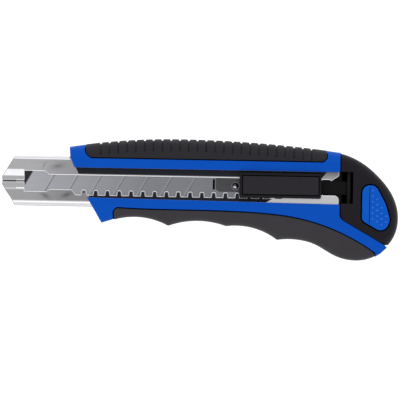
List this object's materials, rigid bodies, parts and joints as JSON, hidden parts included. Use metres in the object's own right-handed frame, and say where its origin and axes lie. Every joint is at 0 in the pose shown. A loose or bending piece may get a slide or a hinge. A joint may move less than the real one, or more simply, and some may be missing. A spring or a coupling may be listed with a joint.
{
  "type": "utility knife",
  "caption": "Snap-off utility knife with a steel blade rail, locking thumb slider, soft grips and a drawer magazine behind a push-button end cap.",
  "frame": {"origin": "bottom centre of the bounding box, on the flat back face that the knife lies on", "axes": "+X from the nose to the end cap, +Y to the spine side, +Z out of the slider side"},
  "size_m": [0.168, 0.05, 0.0242],
  "materials": {
    "blue_plastic": "semi-gloss moulded",
    "black_plastic": "fine satin texture",
    "grip_rubber": "soft matte overmould",
    "rail_steel": "bright rolled sheet",
    "blade_steel": "ground carbon steel",
    "carrier_steel": "dark spring steel",
    "screw_steel": "bright plated"
  },
  "bodies": {
    "handle": {"body_shell": "blue_plastic", "back_cover": "blue_plastic", "cover_screws": "screw_steel", "spine_grip": "grip_rubber", "finger_grip": "grip_rubber", "blade_rail": "rail_steel", "rail_rivets": "screw_steel", "lip_liner_upper": "black_plastic", "lip_liner_lower": "black_plastic"},
    "slider": {"slider_base": "black_plastic", "blade_carrier": "carrier_steel", "clamp_plate": "carrier_steel", "blade_stud": "screw_steel", "lock_spring": "carrier_steel", "blade": "blade_steel", "button_springs": "screw_steel"},
    "slider_button": {"thumb_button": "black_plastic"},
    "cap": {"end_cap": "black_plastic", "pull_bar": "black_plastic", "tray_screw": "screw_steel", "magazine_tray": "black_plastic", "cap_button_spring": "screw_steel", "follower_spring": "carrier_steel"},
    "release_button": {"cap_button": "blue_plastic"},
    "blade_stack": {"magazine_follower": "black_plastic", "spare_blade_1": "blade_steel", "spare_blade_2": "blade_steel", "spare_blade_3": "blade_steel", "spare_blade_4": "blade_steel", "spare_blade_5": "blade_steel"}
  },
  "joints": [
    {"name": "slider_travel", "type": "slide", "parent": "handle", "child": "slider", "axis": [-1, 0, 0], "range_m": [-0.01, 0.08]},
    {"name": "thumb_button_press", "type": "slide", "parent": "slider", "child": "slider_button", "axis": [0, 0, -1], "range_m": [0, 0.0012], "stiffness_N_per_m": 800, "springref_m": -0.001, "deforming": ["button_springs"]},
    {"name": "cap_pull", "type": "slide", "parent": "handle", "child": "cap", "axis": [1, 0, 0], "range_m": [0, 0.122]},
    {"name": "cap_button_press", "type": "slide", "parent": "cap", "child": "release_button", "axis": [0, 0, -1], "range_m": [0, 0.0016], "stiffness_N_per_m": 800, "springref_m": -0.001, "deforming": ["cap_button_spring"]},
    {"name": "magazine_give", "type": "slide", "parent": "cap", "child": "blade_stack", "axis": [0, 0, -1], "range_m": [0, 0.0006], "stiffness_N_per_m": 1500, "springref_m": -0.0006, "deforming": ["follower_spring"]}
  ]
}
